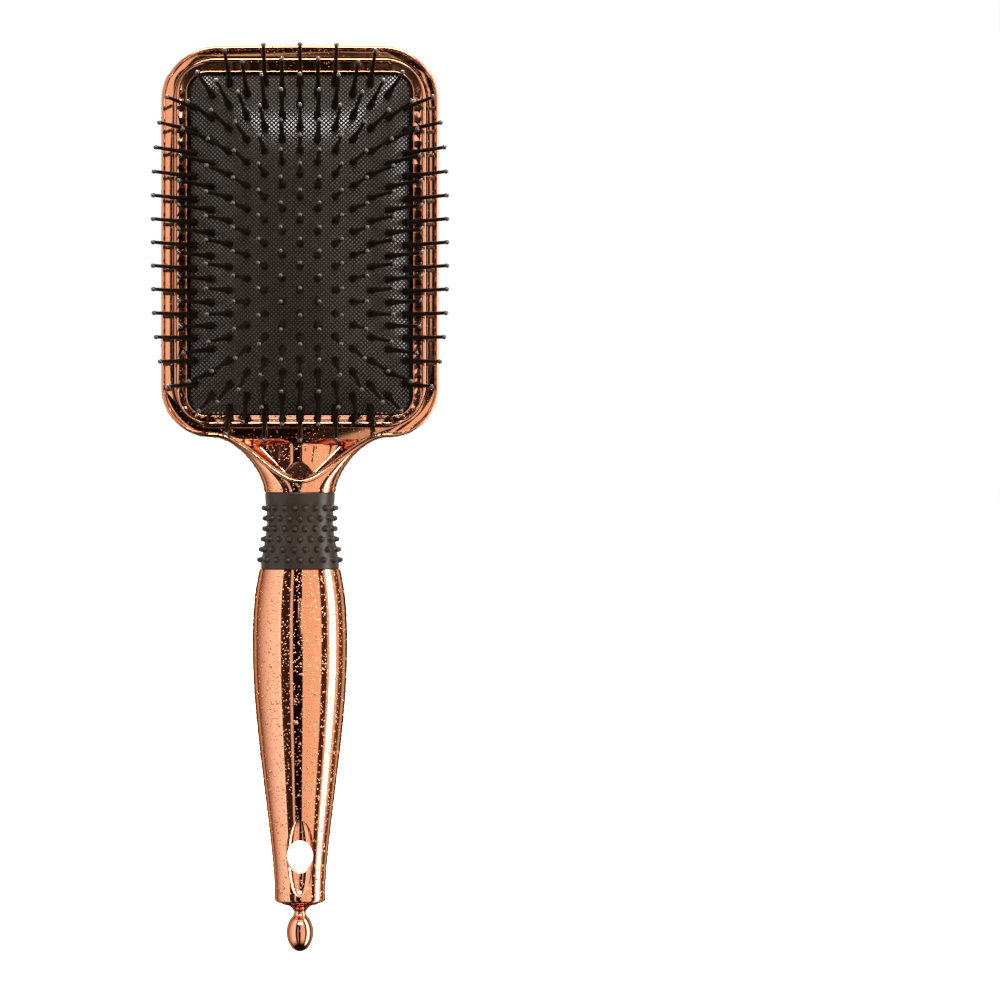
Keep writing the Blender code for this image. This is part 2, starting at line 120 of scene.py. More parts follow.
HANDLE_PROFILE = (  # (z, half width) in millimetres
    (-10.7, 11.2),
    (-16.8, 12.3),
    (-23.3, 12.9),
    (-32.1, 13.1),
    (-43.1, 12.75),
    (-56.3, 11.6),
    (-69.5, 10.05),
    (-82.7, 8.45),
    (-92.6, 7.4),
    (-99.2, 7.0),
)
STRAIGHT_Z = -99.2 * MM  # the handle keeps its width below this
END_ROLL = 1.1 * MM
HOLE_Z = -89.9 * MM
HOLE_HALF = (3.65 * MM, 4.55 * MM)
DISH_HALF = (3.9 * MM, 11.2 * MM)
DISH_DEPTH = 2.6 * MM
CUT_FRONT_Y = -20 * MM  # cutters run out in front of the body to here


# ---- helpers
def mix(a, b, share):
    return a + (b - a) * share


def ease(value, low, high):
    share = min(max((value - low) / (high - low), 0.0), 1.0)
    return share * share * (3 - 2 * share)


def spline_value(points, at):
    """A smooth value read from (at, value) points in falling order of at."""
    ats = [p[0] for p in points]
    k = next((i for i in range(len(ats) - 1) if at >= ats[i + 1]), len(ats) - 2)
    around = [points[min(max(i, 0), len(points) - 1)] for i in (k - 1, k, k + 1, k + 2)]
    run = around[2][0] - around[1][0]
    slopes = [(b[1] - a[1]) / (b[0] - a[0]) * run for a, b in (around[::2], around[1::2])]
    t = (at - around[1][0]) / run
    square = t * t
    cube = square * t
    return (
        (2 * cube - 3 * square + 1) * around[1][1]
        + (cube - 2 * square + t) * slopes[0]
        + (3 * square - 2 * cube) * around[2][1]
        + (cube - square) * slopes[1]
    )


def bezier(start, leave, arrive, end, steps):
    points = []
    for i in range(1, steps + 1):
        t = i / steps
        weights = ((1 - t) ** 3, 3 * t * (1 - t) ** 2, 3 * t * t * (1 - t), t**3)
        corners = (start, leave, arrive, end)
        points.append(tuple(sum(w * c[k] for w, c in zip(weights, corners)) for k in (0, 1)))
    return points


def arc(centre, radius, start_deg, end_deg, steps):
    angles = [math.radians(mix(start_deg, end_deg, i / steps)) for i in range(steps + 1)]
    return [(centre[0] + radius * math.cos(a), centre[1] + radius * math.sin(a)) for a in angles]


def rounded_rect(half, low_z, high_z, radius, corner=16, across=20, up=30):
    """Outline points (x, z), anticlockwise from the right side's top, with points along the straights."""
    x = half - radius
    low = low_z + radius
    high = high_z - radius
    middles = ((x, high), (-x, high), (-x, low), (x, low))
    corners = [arc(middle, radius, 90 * i, 90 * i + 90, corner) for i, middle in enumerate(middles)]
    points = []
    for i, turn in enumerate(corners):
        points += turn
        after = corners[(i + 1) % 4][0]
        count = up if i % 2 else across
        for k in range(1, count):
            share = k / count
            points.append((mix(turn[-1][0], after[0], share), mix(turn[-1][1], after[1], share)))
    return points


def ellipse(half_x, half_y, z, count):
    turns = [2 * math.pi * i / count for i in range(count)]
    return [(half_x * math.cos(a), half_y * math.sin(a), z) for a in turns]


def linked(name, data):
    obj = bpy.data.objects.new(name, data)
    bpy.context.scene.collection.objects.link(obj)
    return obj


def skin(name, rings, material=None, closed=False, smooth=60):
    """A mesh object skinned over rings of equal length, with its faces turned outwards."""
    count = len(rings[0])
    last = len(rings) - 1
    faces = []
    for a, b in [(i, i + 1) for i in range(last)] + ([(last, 0)] if closed else []):
        for i in range(count):
            j = (i + 1) % count
            faces.append((a * count + i, a * count + j, b * count + j, b * count + i))
    if not closed:
        faces.append(tuple(range(count)))
        faces.append(tuple(last * count + i for i in range(count)))
    mesh = bpy.data.meshes.new(name)
    mesh.from_pydata([tuple(p) for ring in rings for p in ring], [], faces)
    bm = bmesh.new()
    bm.from_mesh(mesh)
    bmesh.ops.remove_doubles(bm, verts=bm.verts, dist=1e-7)
    bmesh.ops.recalc_face_normals(bm, faces=bm.faces)
    bm.to_mesh(mesh)
    bm.free()
    if material:
        mesh.materials.append(material)
    mesh.shade_smooth()
    if smooth:
        mesh.set_sharp_from_angle(angle=math.radians(smooth))
    return linked(name, mesh)


def made_plain(obj):
    """Turns an object's evaluated result into its plain mesh and drops its modifiers."""
    graph = bpy.context.evaluated_depsgraph_get()
    graph.update()
    mesh = bpy.data.meshes.new_from_object(obj.evaluated_get(graph))
    obj.modifiers.clear()
    obj.data = mesh
    return obj


def place(obj, body, slot, *replaced):
    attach(obj, body)
    if replaced:
        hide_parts(*replaced)
    return obj


# ---- node helpers
def feed(tree, socket, value):
    """Gives a socket its value: another node's output is linked to it."""
    if isinstance(value, bpy.types.NodeSocket):
        tree.links.new(value, socket)
    else:
        socket.default_value = value


def node(tree, kind, inputs=None, **settings):
    made = tree.nodes.new(kind)
    for key, value in settings.items():
        setattr(made, key, value)
    for key, value in (inputs or {}).items():
        feed(tree, made.inputs[key], value)
    return made


def calculated(tree, operation, *values):
    return node(tree, "ShaderNodeMath", dict(enumerate(values)), operation=operation).outputs["Value"]


def times(tree, value, factor):
    return calculated(tree, "MULTIPLY", value, factor)


def noise(tree, where, scale, detail=3.0):
    inputs = {"Vector": where, "Scale": scale, "Detail": detail}
    return node(tree, "ShaderNodeTexNoise", inputs).outputs["Fac"]


def ramped(tree, value, low, high, from_low=0.0, from_high=1.0):
    limits = {"From Min": from_low, "From Max": from_high, "To Min": low, "To Max": high}
    return node(tree, "ShaderNodeMapRange", {"Value": value, **limits}).outputs["Result"]


def coloured(tree, value, *stops):
    made = node(tree, "ShaderNodeValToRGB", {"Fac": value})
    elements = made.color_ramp.elements
    while len(elements) < len(stops):
        elements.new(0.5)
    for element, (at, colour) in zip(elements, stops):
        element.position = at
        element.color = (*colour, 1.0)
    return made.outputs["Color"]


def bumped(tree, height, distance, strength, before=None):
    made = node(tree, "ShaderNodeBump", {"Distance": distance, "Strength": strength, "Height": height})
    if before:
        tree.links.new(before, made.inputs["Normal"])
    return made.outputs["Normal"]


def object_coordinates(tree):
    return node(tree, "ShaderNodeTexCoord").outputs["Object"]


def new_material(name, sockets):
    """A material whose constants stand on the shader's own sockets."""
    material = bpy.data.materials.new(name)
    material.use_nodes = True
    shader = material.node_tree.nodes["Principled BSDF"]
    for key, value in sockets.items():
        shader.inputs[key].default_value = value
    return material, material.node_tree, shader.inputs


# ---- materials
def droplet_height(tree, where):
    """Domes of the finest droplets, where a cell's point comes near the plating's surface."""
    cells = node(tree, "ShaderNodeTexVoronoi", {"Vector": where, "Scale": 1200.0})
    near = ramped(tree, cells.outputs["Distance"], 0.0, 1.0, 0.0, 0.25)
    dome = calculated(tree, "SUBTRACT", 1.0, calculated(tree, "POWER", near, 2.0))
    axes = node(tree, "ShaderNodeSeparateXYZ", {"Vector": where}).outputs
    behind_rim = ramped(tree, axes["Y"], 0.0, 1.0, -6.2 * MM, -5.6 * MM)
    on_neck = ramped(tree, axes["Z"], 1.0, 0.0, 13 * MM, 15 * MM)
    return calculated(tree, "MULTIPLY", dome, calculated(tree, "MAXIMUM", behind_rim, on_neck))


def make_plating(name, with_droplets):
    """Rose gold electroplate: mirror-bright, with faint cloudiness and a shallow moulding ripple."""
    tinted = {"Metallic": 1.0, "Specular Tint": (0.03, 0.015, 0.01, 1.0)}
    material, tree, surface = new_material(name, tinted)
    where = object_coordinates(tree)
    cloud = noise(tree, where, 60.0, 4.0)
    grain = noise(tree, where, 900.0)
    ripple = bumped(tree, noise(tree, where, 140.0, 2.0), 0.00002, 0.25)
    normal = bumped(tree, grain, 0.000004, 0.25, ripple)
    if with_droplets:
        normal = bumped(tree, droplet_height(tree, where), 0.00006, 1.0, normal)
    tint = coloured(tree, cloud, (0.3, (0.93, 0.400, 0.225)), (0.7, (0.95, 0.435, 0.255)))
    feed(tree, surface["Base Color"], tint)
    feed(tree, surface["Roughness"], ramped(tree, grain, 0.035, 0.075))
    feed(tree, surface["Normal"], normal)
    return material


def make_moulded(name, dark, light, cloud, grain, rough, bump, **sockets):
    """Rubber, nylon, resin or dull plating: a clouded colour, and a fine grain in its gloss and height."""
    constants = {key.replace("_", " "): value for key, value in sockets.items()}
    material, tree, surface = new_material(name, constants)
    where = object_coordinates(tree)
    fine = noise(tree, where, *grain)
    feed(tree, surface["Base Color"], coloured(tree, noise(tree, where, *cloud), (0.3, dark), (0.7, light)))
    feed(tree, surface["Roughness"], ramped(tree, fine, *rough))
    if bump:
        feed(tree, surface["Normal"], bumped(tree, fine, *bump))
    return material


plating = make_plating("rose_gold_droplet_plating", True)
clear_plating = make_plating("rose_gold_plating", False)
BORE = ((300.0,), (1500.0,), (0.32, 0.5), None)
bore_plating = make_moulded("bore_plating", (0.62, 0.36, 0.25), (0.74, 0.46, 0.33), *BORE, Metallic=1.0)
bare_plastic = make_moulded("bare_plastic", (0.012, 0.008, 0.006), (0.02, 0.014, 0.010), *BORE, Metallic=0.0)
PAD = {"cloud": (45.0,), "grain": (2600.0, 2.0), "bump": (0.00001, 0.4)}
# The membrane between the studs is far darker than the studs' own rubber: painted shade in the grooves of the
# woven emboss.
pad_rubber = make_moulded(
    "pad_rubber", (0.004, 0.003, 0.002), (0.007, 0.005, 0.004),
    rough=(0.5, 0.62), Specular_IOR_Level=0.15, **PAD,
)
stud_rubber = make_moulded(
    "pad_stud_rubber", (0.040, 0.029, 0.021), (0.056, 0.043, 0.033),
    rough=(0.16, 0.28), Specular_IOR_Level=1.0, **PAD,
)
grip_rubber = make_moulded(
    "grip_rubber", (0.015, 0.0095, 0.0055), (0.024, 0.016, 0.0095),
    cloud=(90.0,), grain=(3000.0,), rough=(0.26, 0.42), bump=(0.000015, 0.5), Specular_IOR_Level=0.38,
)
pin_nylon = make_moulded(
    "pin_nylon", (0.004, 0.002, 0.001), (0.008, 0.004, 0.002),
    cloud=(160.0, 2.0), grain=(1800.0,), rough=(0.3, 0.42), bump=None, Specular_IOR_Level=0.25,
)
pin_ball = make_moulded(
    "pin_ball_resin", (0.012, 0.007, 0.004), (0.02, 0.012, 0.007),
    cloud=(160.0,), grain=(900.0,), rough=(0.05, 0.1), bump=None,
    IOR=1.7, Coat_Weight=0.7, Coat_Roughness=0.03,
)


# ---- plated body
SECTION_POINTS = 180


def head_half_outline():
    """(half width, z) of the head's outline, from the top edge down to the neck."""
    top = arc((HEAD_HALF - TOP_CORNER, HEAD_TOP_Z - TOP_CORNER), TOP_CORNER, 90, 0, 44)
    low_centre = (HEAD_HALF - LOW_CORNER, HEAD_LOW_Z + LOW_CORNER)
    side = [(HEAD_HALF, mix(top[-1][1], low_centre[1], k / 26)) for k in range(1, 26)]
    low = arc(low_centre, LOW_CORNER, 0, -90, 26)
    shoulder = bezier(
        low[-1],
        (low[-1][0] - SHOULDER_REACH, HEAD_LOW_Z),
        (NECK_HALF * 1.07, SLEEVE_HALF + NECK_FLARE),
        (NECK_HALF, SLEEVE_HALF),
        44,
    )
    return top + side + low + shoulder


def head_depths(z):
    """A section's middle plane, its reach to front and back, and its front and back powers."""
    neckness = 1 - ease(z, SLEEVE_HALF, HEAD_LOW_Z + LOW_CORNER)
    from_top = min((HEAD_TOP_Z - z) / HEAD_HALF, 1.0)
    roll = mix(TOP_EDGE_SHARE, 1.0, (1 - (1 - from_top) ** 3) ** (1 / 3))
    front_roll = mix(TOP_EDGE_SHARE, 1.0, min((HEAD_TOP_Z - z) / SHELF_INSET, 1.0) ** 0.5)
    mid_y = mix(WIDEST_Y, 0.0, neckness)
    front = mix(mid_y - LIP_Y - LIP_STEP, NECK_DEPTH / 2, neckness) * front_roll
    back = mix(BACK_Y - mid_y, NECK_DEPTH / 2, neckness) * roll
    return mid_y, front, back, mix(30.0, 2.2, neckness**0.5), mix(2.25, 2.1, neckness)


def head_section(half_width, z):
    mid_y, front, back, front_power, back_power = head_depths(z)
    above = min(max((z - HEAD_LOW_Z) / LOW_CORNER, 0.0), 1.0)
    under_roll = mix(TOP_EDGE_SHARE, 1.0, math.sqrt(1 - (1 - above) ** 2))
    ring = []
    for i in range(SECTION_POINTS):
        angle = 2 * math.pi * i / SECTION_POINTS
        across = math.cos(angle)
        deep = math.sin(angle)
        power = back_power if deep > 0 else front_power
        reach = back if deep > 0 else front
        x = half_width * math.copysign(abs(across) ** (2 / power), across)
        y = mid_y + reach * math.copysign(abs(deep) ** (2 / power), deep)
        if deep > 0:
            beside = ease(abs(x), NECK_HALF * 1.1, VEE_START[0] + SHOULDER_REACH)
            y = mid_y + (y - mid_y) * mix(1.0, under_roll, beside)
        fall = TOP_CROWN * (x / HEAD_HALF) ** 2 * ease(z, HEAD_TOP_Z - 2 * TOP_CORNER, HEAD_TOP_Z)
        ring.append((x, y, z - fall))
    return ring


def front_of_body(x, half_width, z):
    mid_y, front, _, power, _ = head_depths(z)
    share = min(abs(x) / half_width, 0.999)
    return mid_y - front * (1 - share**power) ** (1 / power)


def half_width_at(z):
    outline = head_half_outline()
    for (a, low_z), (b, high_z) in zip(outline[1:], outline):
        if low_z <= z <= high_z and high_z > low_z:
            return mix(a, b, (z - low_z) / (high_z - low_z))
    return outline[-1][0]


def handle_half(z):
    return spline_value(HANDLE_PROFILE, z / MM) * MM


def handle_rings():
    rings = []
    for i in range(60):
        z = mix(-SLEEVE_HALF, -100.6 * MM, i / 59)
        half = handle_half(max(z, STRAIGHT_Z))
        rings.append(ellipse(half, half * HANDLE_SHARE, z, SECTION_POINTS))
    for i in range(9):
        angle = math.radians(mix(0, 90, i / 8))
        inset = END_ROLL * (1 - math.cos(angle))
        z = HANDLE_END_Z + END_ROLL - END_ROLL * math.sin(angle)
        rings.append(ellipse(half - inset, half * HANDLE_SHARE - inset, z, SECTION_POINTS))
    return rings


def loft_rings():
    rings = [head_section(half, z) for half, z in head_half_outline()]
    rings += [ellipse(CORE_HALF, CORE_DEEP, z, SECTION_POINTS) for z in (SLEEVE_HALF, -SLEEVE_HALF)]
    return rings + handle_rings()


def offset_outline(points, inwards):
    """A closed outline moved inwards along its own normals."""
    ring = np.array(points, float)
    ahead = np.roll(ring, -1, 0) - ring
    ahead /= np.linalg.norm(ahead, axis=1)[:, None]
    run = ahead + np.roll(ahead, 1, 0)
    run /= np.linalg.norm(run, axis=1)[:, None]
    area = 0.5 * np.sum(ring[:, 0] * np.roll(ring[:, 1], -1) - np.roll(ring[:, 0], -1) * ring[:, 1])
    normal = np.stack([-run[:, 1], run[:, 0]], 1) * math.copysign(1.0, area)
    return [tuple(p) for p in ring + normal * inwards]


def even_outline(points, spacing):
    """The closed outline resampled at an even spacing."""
    ring = np.array(points + points[:1], float)
    along = np.concatenate([[0], np.cumsum(np.linalg.norm(np.diff(ring, axis=0), axis=1))])
    count = int(along[-1] / spacing)
    at = np.linspace(0, along[-1], count, endpoint=False)
    return [(float(np.interp(a, along, ring[:, 0])), float(np.interp(a, along, ring[:, 1]))) for a in at]


def mirrored(right_half):
    return right_half + [(-x, z) for x, z in reversed(right_half) if x > 1e-9]


def vee_curve(start, low_z, steps=22):
    return bezier(start, (start[0] * 0.62, mix(start[1], low_z, 0.35)), (5.5 * MM, low_z), (0, low_z), steps)


def rim_outline(inset):
    """The line that runs inside the head's outline by inset and down the V on the neck."""
    top = arc((HEAD_HALF - TOP_CORNER, HEAD_TOP_Z - TOP_CORNER), TOP_CORNER - inset, 90, 0, 20)
    low_centre = (HEAD_HALF - LOW_CORNER, HEAD_LOW_Z + LOW_CORNER)
    low = arc(low_centre, LOW_CORNER - inset, 0, -90, 18)
    start = (VEE_START[0] + (SHELF_INSET - inset) * 0.5, VEE_START[1] - (SHELF_INSET - inset) * 0.8)
    low_z = VEE_LOW_Z - (SHELF_INSET - inset)
    leave = (low[-1][0] - SHOULDER_REACH / 2, low[-1][1])
    arrive = (mix(start[0], leave[0], 0.5), mix(start[1], leave[1], 0.5))
    shoulder = bezier(low[-1], leave, arrive, start, 10)
    crown = [(x, z - TOP_CROWN * (x / HEAD_HALF) ** 2) for x, z in [(0, top[0][1])] + top[:14]]
    return mirrored(crown + top[14:] + low + shoulder + vee_curve(start, low_z))


def shelf_rings():
    """The cutter of the flat shelf round the frame, with a small fillet at its foot."""
    outline = even_outline(rim_outline(SHELF_INSET), 0.8 * MM)
    rings = []
    for step in range(6):
        angle = math.radians(90 * step / 5)
        inset = SHELF_FILLET * (1 - math.sin(angle))
        y = SHELF_Y - SHELF_FILLET * (1 - math.cos(angle))
        rings.append([(x, y, z) for x, z in offset_outline(outline, inset)])
    rings.append([(x, CUT_FRONT_Y, z) for x, z in outline])
    return rings


def scoop_rings():
    """A closed block whose rear face is the scoop's floor, bulging like the neck that it runs into."""
    low_z = VEE_LOW_Z + SCOOP_INSET
    start = (VEE_START[0] - SCOOP_INSET, SCOOP_TOP_Z - 0.4 * MM)
    edge = [(start[0], SCOOP_TOP_Z), start] + vee_curve(start, low_z, 40)
    foot_y = front_of_body(0, half_width_at(low_z), low_z) + 0.12 * MM
    slope = ROUND_REACH / ROUND_RADIUS
    rings = []
    for step in range(41):
        z = mix(SCOOP_TOP_Z, low_z, (step / 40) ** 0.8)
        half = edge[-1][0]
        for (a, high), (b, low) in zip(edge, edge[1:]):
            if low <= z <= high and high > low:
                half = mix(b, a, (z - low) / (high - low))
                break
        half = max(half, 0.05 * MM)
        middle = mix(foot_y, SCOOP_FLOOR_Y, (z - low_z) / (SCOOP_TOP_Z - low_z))
        rolled = ease(SCOOP_TOP_Z - z, 0, 1.6 * MM)
        body_half = half_width_at(z)
        ring = []
        for k in range(49):
            share = k / 48 * 2 - 1
            x = half * share
            near = min(abs(x), ROUND_REACH)
            past = min(max(abs(x) - ROUND_REACH, 0.0), ROUND_FADE)
            floor = middle + near**2 / (2 * ROUND_RADIUS) + slope * (past - past**2 / (2 * ROUND_FADE))
            rim = max(front_of_body(x, body_half, z), SHELF_Y)
            ring.append((x, max(rim, mix(rim, floor, (1 - abs(share) ** 14) * rolled)), z))
        rings.append(ring + [(half, CUT_FRONT_Y, z), (-half, CUT_FRONT_Y, z)])
    return rings


def hole_ring(half, share, y, count):
    """An ellipse round the hole's middle, standing at y."""
    return [(x, y, HOLE_Z + z) for x, z, _ in ellipse(half[0] * share, half[1] * share, 0, count)]


def dish_rings(side):
    """An ellipsoid centred on the handle's surface, which leaves the hole's dished mouth."""
    at_y = side * handle_half(HOLE_Z) * HANDLE_SHARE
    angles = [math.pi * i / 24 for i in range(1, 24)]
    return [hole_ring(DISH_HALF, math.sin(a), at_y + DISH_DEPTH * math.cos(a), 72) for a in angles]


def make_body():
    body = skin("plated_body", loft_rings(), plating, smooth=0)
    pocket = rounded_rect(FRAME_HALF + GAP, FRAME_LOW_Z - GAP, FRAME_TOP_Z + GAP, FRAME_CORNER + GAP)
    cuts = (
        ("shelf", shelf_rings(), None),
        ("scoop", scoop_rings(), None),
        ("pocket", [[(x, y, z) for x, z in pocket] for y in (POCKET_FLOOR_Y, CUT_FRONT_Y)], bare_plastic),
        ("hole", [hole_ring(HOLE_HALF, 1.0, y, 64) for y in (-CUT_FRONT_Y, CUT_FRONT_Y)], bore_plating),
        ("dish_front", dish_rings(-1), None),
        ("dish_back", dish_rings(1), None),
    )
    for name, rings, material in cuts:
        modifier = body.modifiers.new(name, "BOOLEAN")
        modifier.operation = "DIFFERENCE"
        modifier.object = skin("cutter_" + name, rings, material)
        if material:
            modifier.material_mode = "TRANSFER"
    cutters = [modifier.object for modifier in body.modifiers]
    made_plain(body)
    for cutter in cutters:
        bpy.data.objects.remove(cutter)
    body.data.shade_smooth()
    body.data.set_sharp_from_angle(angle=math.radians(32))
    return place(body, "brush", "rose_plating", "brush_body")


def make_lip():
    """The rolled bead along the head's edge and down the V on the neck."""
    path = even_outline(rim_outline(LIP_RADIUS), 0.6 * MM)
    ring = np.array(path)
    run = np.roll(ring, -1, 0) - np.roll(ring, 1, 0)
    run /= np.linalg.norm(run, axis=1)[:, None]
    rings = []
    for (x, z), (run_x, run_z) in zip(path, run):
        onto_neck = 1 - ease(z, 21 * MM, 30 * MM)
        y = LIP_Y + LIP_RADIUS
        if onto_neck > 0:
            y = mix(y, front_of_body(x, half_width_at(z), z) + 0.18 * MM, onto_neck)
        wide = LIP_RADIUS * mix(1.0, 1.15, onto_neck)
        tall = LIP_RADIUS * mix(1.0, 0.9, onto_neck)
        section = []
        for k in range(16):
            angle = 2 * math.pi * k / 16
            out = wide * math.cos(angle)
            section.append((x + run_z * out, y + tall * math.sin(angle), z - run_x * out))
        rings.append(section)
    lip = skin("rim_lip", rings, clear_plating, closed=True, smooth=0)
    return place(lip, "brush", "rose_plating")


def make_frame():
    """The clamping ring round the pad: outer wall, crowned ridge, step, mirror slope and inner bead."""
    roll = 0.3 * MM
    bead = 0.4 * MM
    bead_height = 0.12 * MM
    slope_end = FRAME_HALF - PAD_HALF - GAP
    start = RIDGE_WIDTH + 0.12 * MM
    step_y = FRAME_FRONT_Y + 0.16 * MM
    slope_y = step_y + (slope_end - bead - start) * math.tan(math.radians(31))
    profile = [(0.0, FRAME_BACK_Y), (0.0, FRAME_FRONT_Y + 0.35 * MM)]  # (inset from the ring's edge, y)
    for k in range(1, 6):
        angle = math.radians(90 * k / 5)
        profile.append((roll * (1 - math.cos(angle)), FRAME_FRONT_Y + roll * (1 - math.sin(angle))))
    for k in range(1, 6):
        share = k / 5
        crown = 0.05 * MM * math.sin(math.pi * share)
        profile.append((mix(roll, RIDGE_WIDTH - 0.15 * MM, share), FRAME_FRONT_Y - crown))
    for k in range(9):
        share = k / 8
        sag = 0.08 * MM * math.sin(math.pi * share)
        profile.append((mix(start, slope_end - bead, share), mix(step_y, slope_y, share) + sag))
    for k in range(1, 6):
        angle = math.radians(30 * k)
        inset = slope_end - bead / 2 - bead / 2 * math.cos(angle)
        profile.append((inset, slope_y - bead_height * math.sin(angle)))
    profile += [(slope_end, slope_y + 0.1 * MM), (slope_end, FRAME_BACK_Y)]
    ridge_share = RIDGE_WIDTH / slope_end
    rings = []
    for inset, y in profile:
        share = min(inset / slope_end, 1.0)
        if share < ridge_share:
            radius = mix(FRAME_CORNER, RIDGE_CORNER, share / ridge_share)
        else:
            radius = mix(RIDGE_CORNER, PAD_CORNER + GAP, (share - ridge_share) / (1 - ridge_share))
        # the ring is narrower below and above than at its sides
        low_z = FRAME_LOW_Z + inset * (PAD_LOW_Z - GAP - FRAME_LOW_Z) / slope_end
        high_z = FRAME_TOP_Z - inset * (FRAME_TOP_Z - PAD_TOP_Z - GAP) / slope_end
        rings.append([(x, y, z) for x, z in rounded_rect(FRAME_HALF - inset, low_z, high_z, radius)])
    ring = skin("pad_ring", rings, clear_plating, closed=True, smooth=40)
    return place(ring, "brush", "rose_plating", "pad_frame")


# ---- copies on points
def new_tree(name, sizes):
    """A Geometry Nodes tree, its input sockets with these sizes, and its result."""
    tree = bpy.data.node_groups.new(name, "GeometryNodeTree")
    tree.interface.new_socket("Geometry", in_out="INPUT", socket_type="NodeSocketGeometry")
    for label, value in sizes.items():
        socket = tree.interface.new_socket(label, in_out="INPUT", socket_type="NodeSocketFloat")
        socket.default_value = value
    tree.interface.new_socket("Geometry", in_out="OUTPUT", socket_type="NodeSocketGeometry")
    given = tree.nodes.new("NodeGroupInput").outputs
    return tree, given, tree.nodes.new("NodeGroupOutput").inputs["Geometry"]


def grown(name, spots, tree, sizes=None):
    """A plain mesh: what the tree makes of the spots, which are places, directions and perhaps sizes."""
    places, normals = spots
    mesh = bpy.data.meshes.new(name)
    mesh.from_pydata([tuple(p) for p in places], [], [])
    axis = mesh.attributes.new("axis", "FLOAT_VECTOR", "POINT")
    axis.data.foreach_set("vector", np.array([tuple(n) for n in normals], np.float32).ravel())
    if sizes is not None:
        size = mesh.attributes.new("size", "FLOAT", "POINT")
        size.data.foreach_set("value", np.array(sizes, np.float32))
    obj = linked(name, mesh)
    obj.modifiers.new(tree.name, "NODES").node_group = tree
    return made_plain(obj)


def stand_on_axis(tree, points, instance, sized=False):
    """Copies of an instance on the points, each turned to its axis attribute."""
    axis = node(tree, "GeometryNodeInputNamedAttribute", {"Name": "axis"}, data_type="FLOAT_VECTOR")
    align = "FunctionNodeAlignRotationToVector"
    turn = node(tree, align, {"Vector": axis.outputs["Attribute"]}, axis="Z")
    level = {"Vector": (1.0, 0.0, 0.0), "Rotation": turn.outputs[0]}
    level = node(tree, align, level, axis="X", pivot_axis="Z")
    inputs = {"Points": points, "Instance": instance, "Rotation": level.outputs[0]}
    if sized:
        size = node(tree, "GeometryNodeInputNamedAttribute", {"Name": "size"}, data_type="FLOAT")
        inputs["Scale"] = size.outputs["Attribute"]
    return node(tree, "GeometryNodeInstanceOnPoints", inputs).outputs["Instances"]


def painted(tree, geometry, material):
    return node(tree, "GeometryNodeSetMaterial", {"Geometry": geometry, "Material": material}).outputs[0]


def realised(tree, instances, material, output, flat=False):
    real = node(tree, "GeometryNodeRealizeInstances", {"Geometry": instances}).outputs[0]
    shaded = node(tree, "GeometryNodeSetShadeSmooth", {"Geometry": real, "Shade Smooth": not flat}).outputs[0]
    tree.links.new(painted(tree, shaded, material) if material else shaded, output)


def raised(tree, geometry, height):
    offset = node(tree, "ShaderNodeCombineXYZ", {"Z": height}).outputs["Vector"]
    return node(tree, "GeometryNodeTransform", {"Geometry": geometry, "Translation": offset}).outputs[0]


def cone_mesh(tree, sides, low_radius, high_radius, depth, fill="NGON"):
    sizes = {"Vertices": sides, "Radius Bottom": low_radius, "Radius Top": high_radius, "Depth": depth}
    return node(tree, "GeometryNodeMeshCone", sizes, fill_type=fill).outputs["Mesh"]


def ball_mesh(tree, segments, rings, radius):
    sizes = {"Segments": segments, "Rings": rings, "Radius": radius}
    return node(tree, "GeometryNodeMeshUVSphere", sizes).outputs["Mesh"]


# ---- cushion pad
PAD_SHARES = [1 - (1 - k / 34) ** 1.35 for k in range(1, 34)]


def dome(x, z):
    u = min(abs(x) / PAD_HALF, 1.0)
    v = min(abs(z - PAD_MID_Z) / PAD_HALF_HEIGHT, 1.0)
    return DOME_HEIGHT * (1 - u**3.0) * (1 - v**3.5)


def dome_normal(x, z):
    step = 1e-5
    slope_x = (dome(x + step, z) - dome(x - step, z)) / (2 * step)
    slope_z = (dome(x, z + step) - dome(x, z - step)) / (2 * step)
    return Vector((-slope_x, -1.0, -slope_z)).normalized()


def pad_outline(inset=0.0):
    low_z, high_z = PAD_LOW_Z + inset, PAD_TOP_Z - inset
    return rounded_rect(PAD_HALF - inset, low_z, high_z, PAD_CORNER - inset, 10, 26, 38)


def pad_loop(share, drop=0.0):
    loop = []
    for x, z in pad_outline():
        at = (x * share, mix(PAD_MID_Z, z, share))
        loop.append((at[0], PAD_EDGE_Y - dome(*at) + drop, at[1]))
    return loop


def emboss_points(pitch):
    """Places of the woven emboss: a square lattice turned by 45 degrees over the pad."""
    half = pitch / math.sqrt(2)
    rows = int(PAD_HALF_HEIGHT / half)
    columns = int(PAD_HALF / half)
    margin = 0.5 * MM
    corner = PAD_CORNER - margin
    places = []
    normals = []
    for row in range(-rows, rows + 1):
        for column in range(-columns, columns + 1):
            x = column * half
            up = row * half
            past_x = max(abs(x) - (PAD_HALF - margin - corner), 0)
            past_z = max(abs(up) - (PAD_HALF_HEIGHT - margin - corner), 0)
            if (row + column) % 2 == 0 and math.hypot(past_x, past_z) <= corner:
                z = PAD_MID_Z + up
                places.append((x, PAD_EDGE_Y - dome(x, z), z))
                normals.append(dome_normal(x, z))
    return places, normals


def make_emboss_tree():
    tree, given, result = new_tree("pad_emboss", {"Stud width": 0.62 * MM, "Stud height": 0.2 * MM})
    low, high = (times(tree, given["Stud width"], share) for share in (0.72, 0.46))
    stud = cone_mesh(tree, 4, low, high, given["Stud height"])
    realised(tree, stand_on_axis(tree, given["Geometry"], stud), stud_rubber, result, flat=True)
    return tree


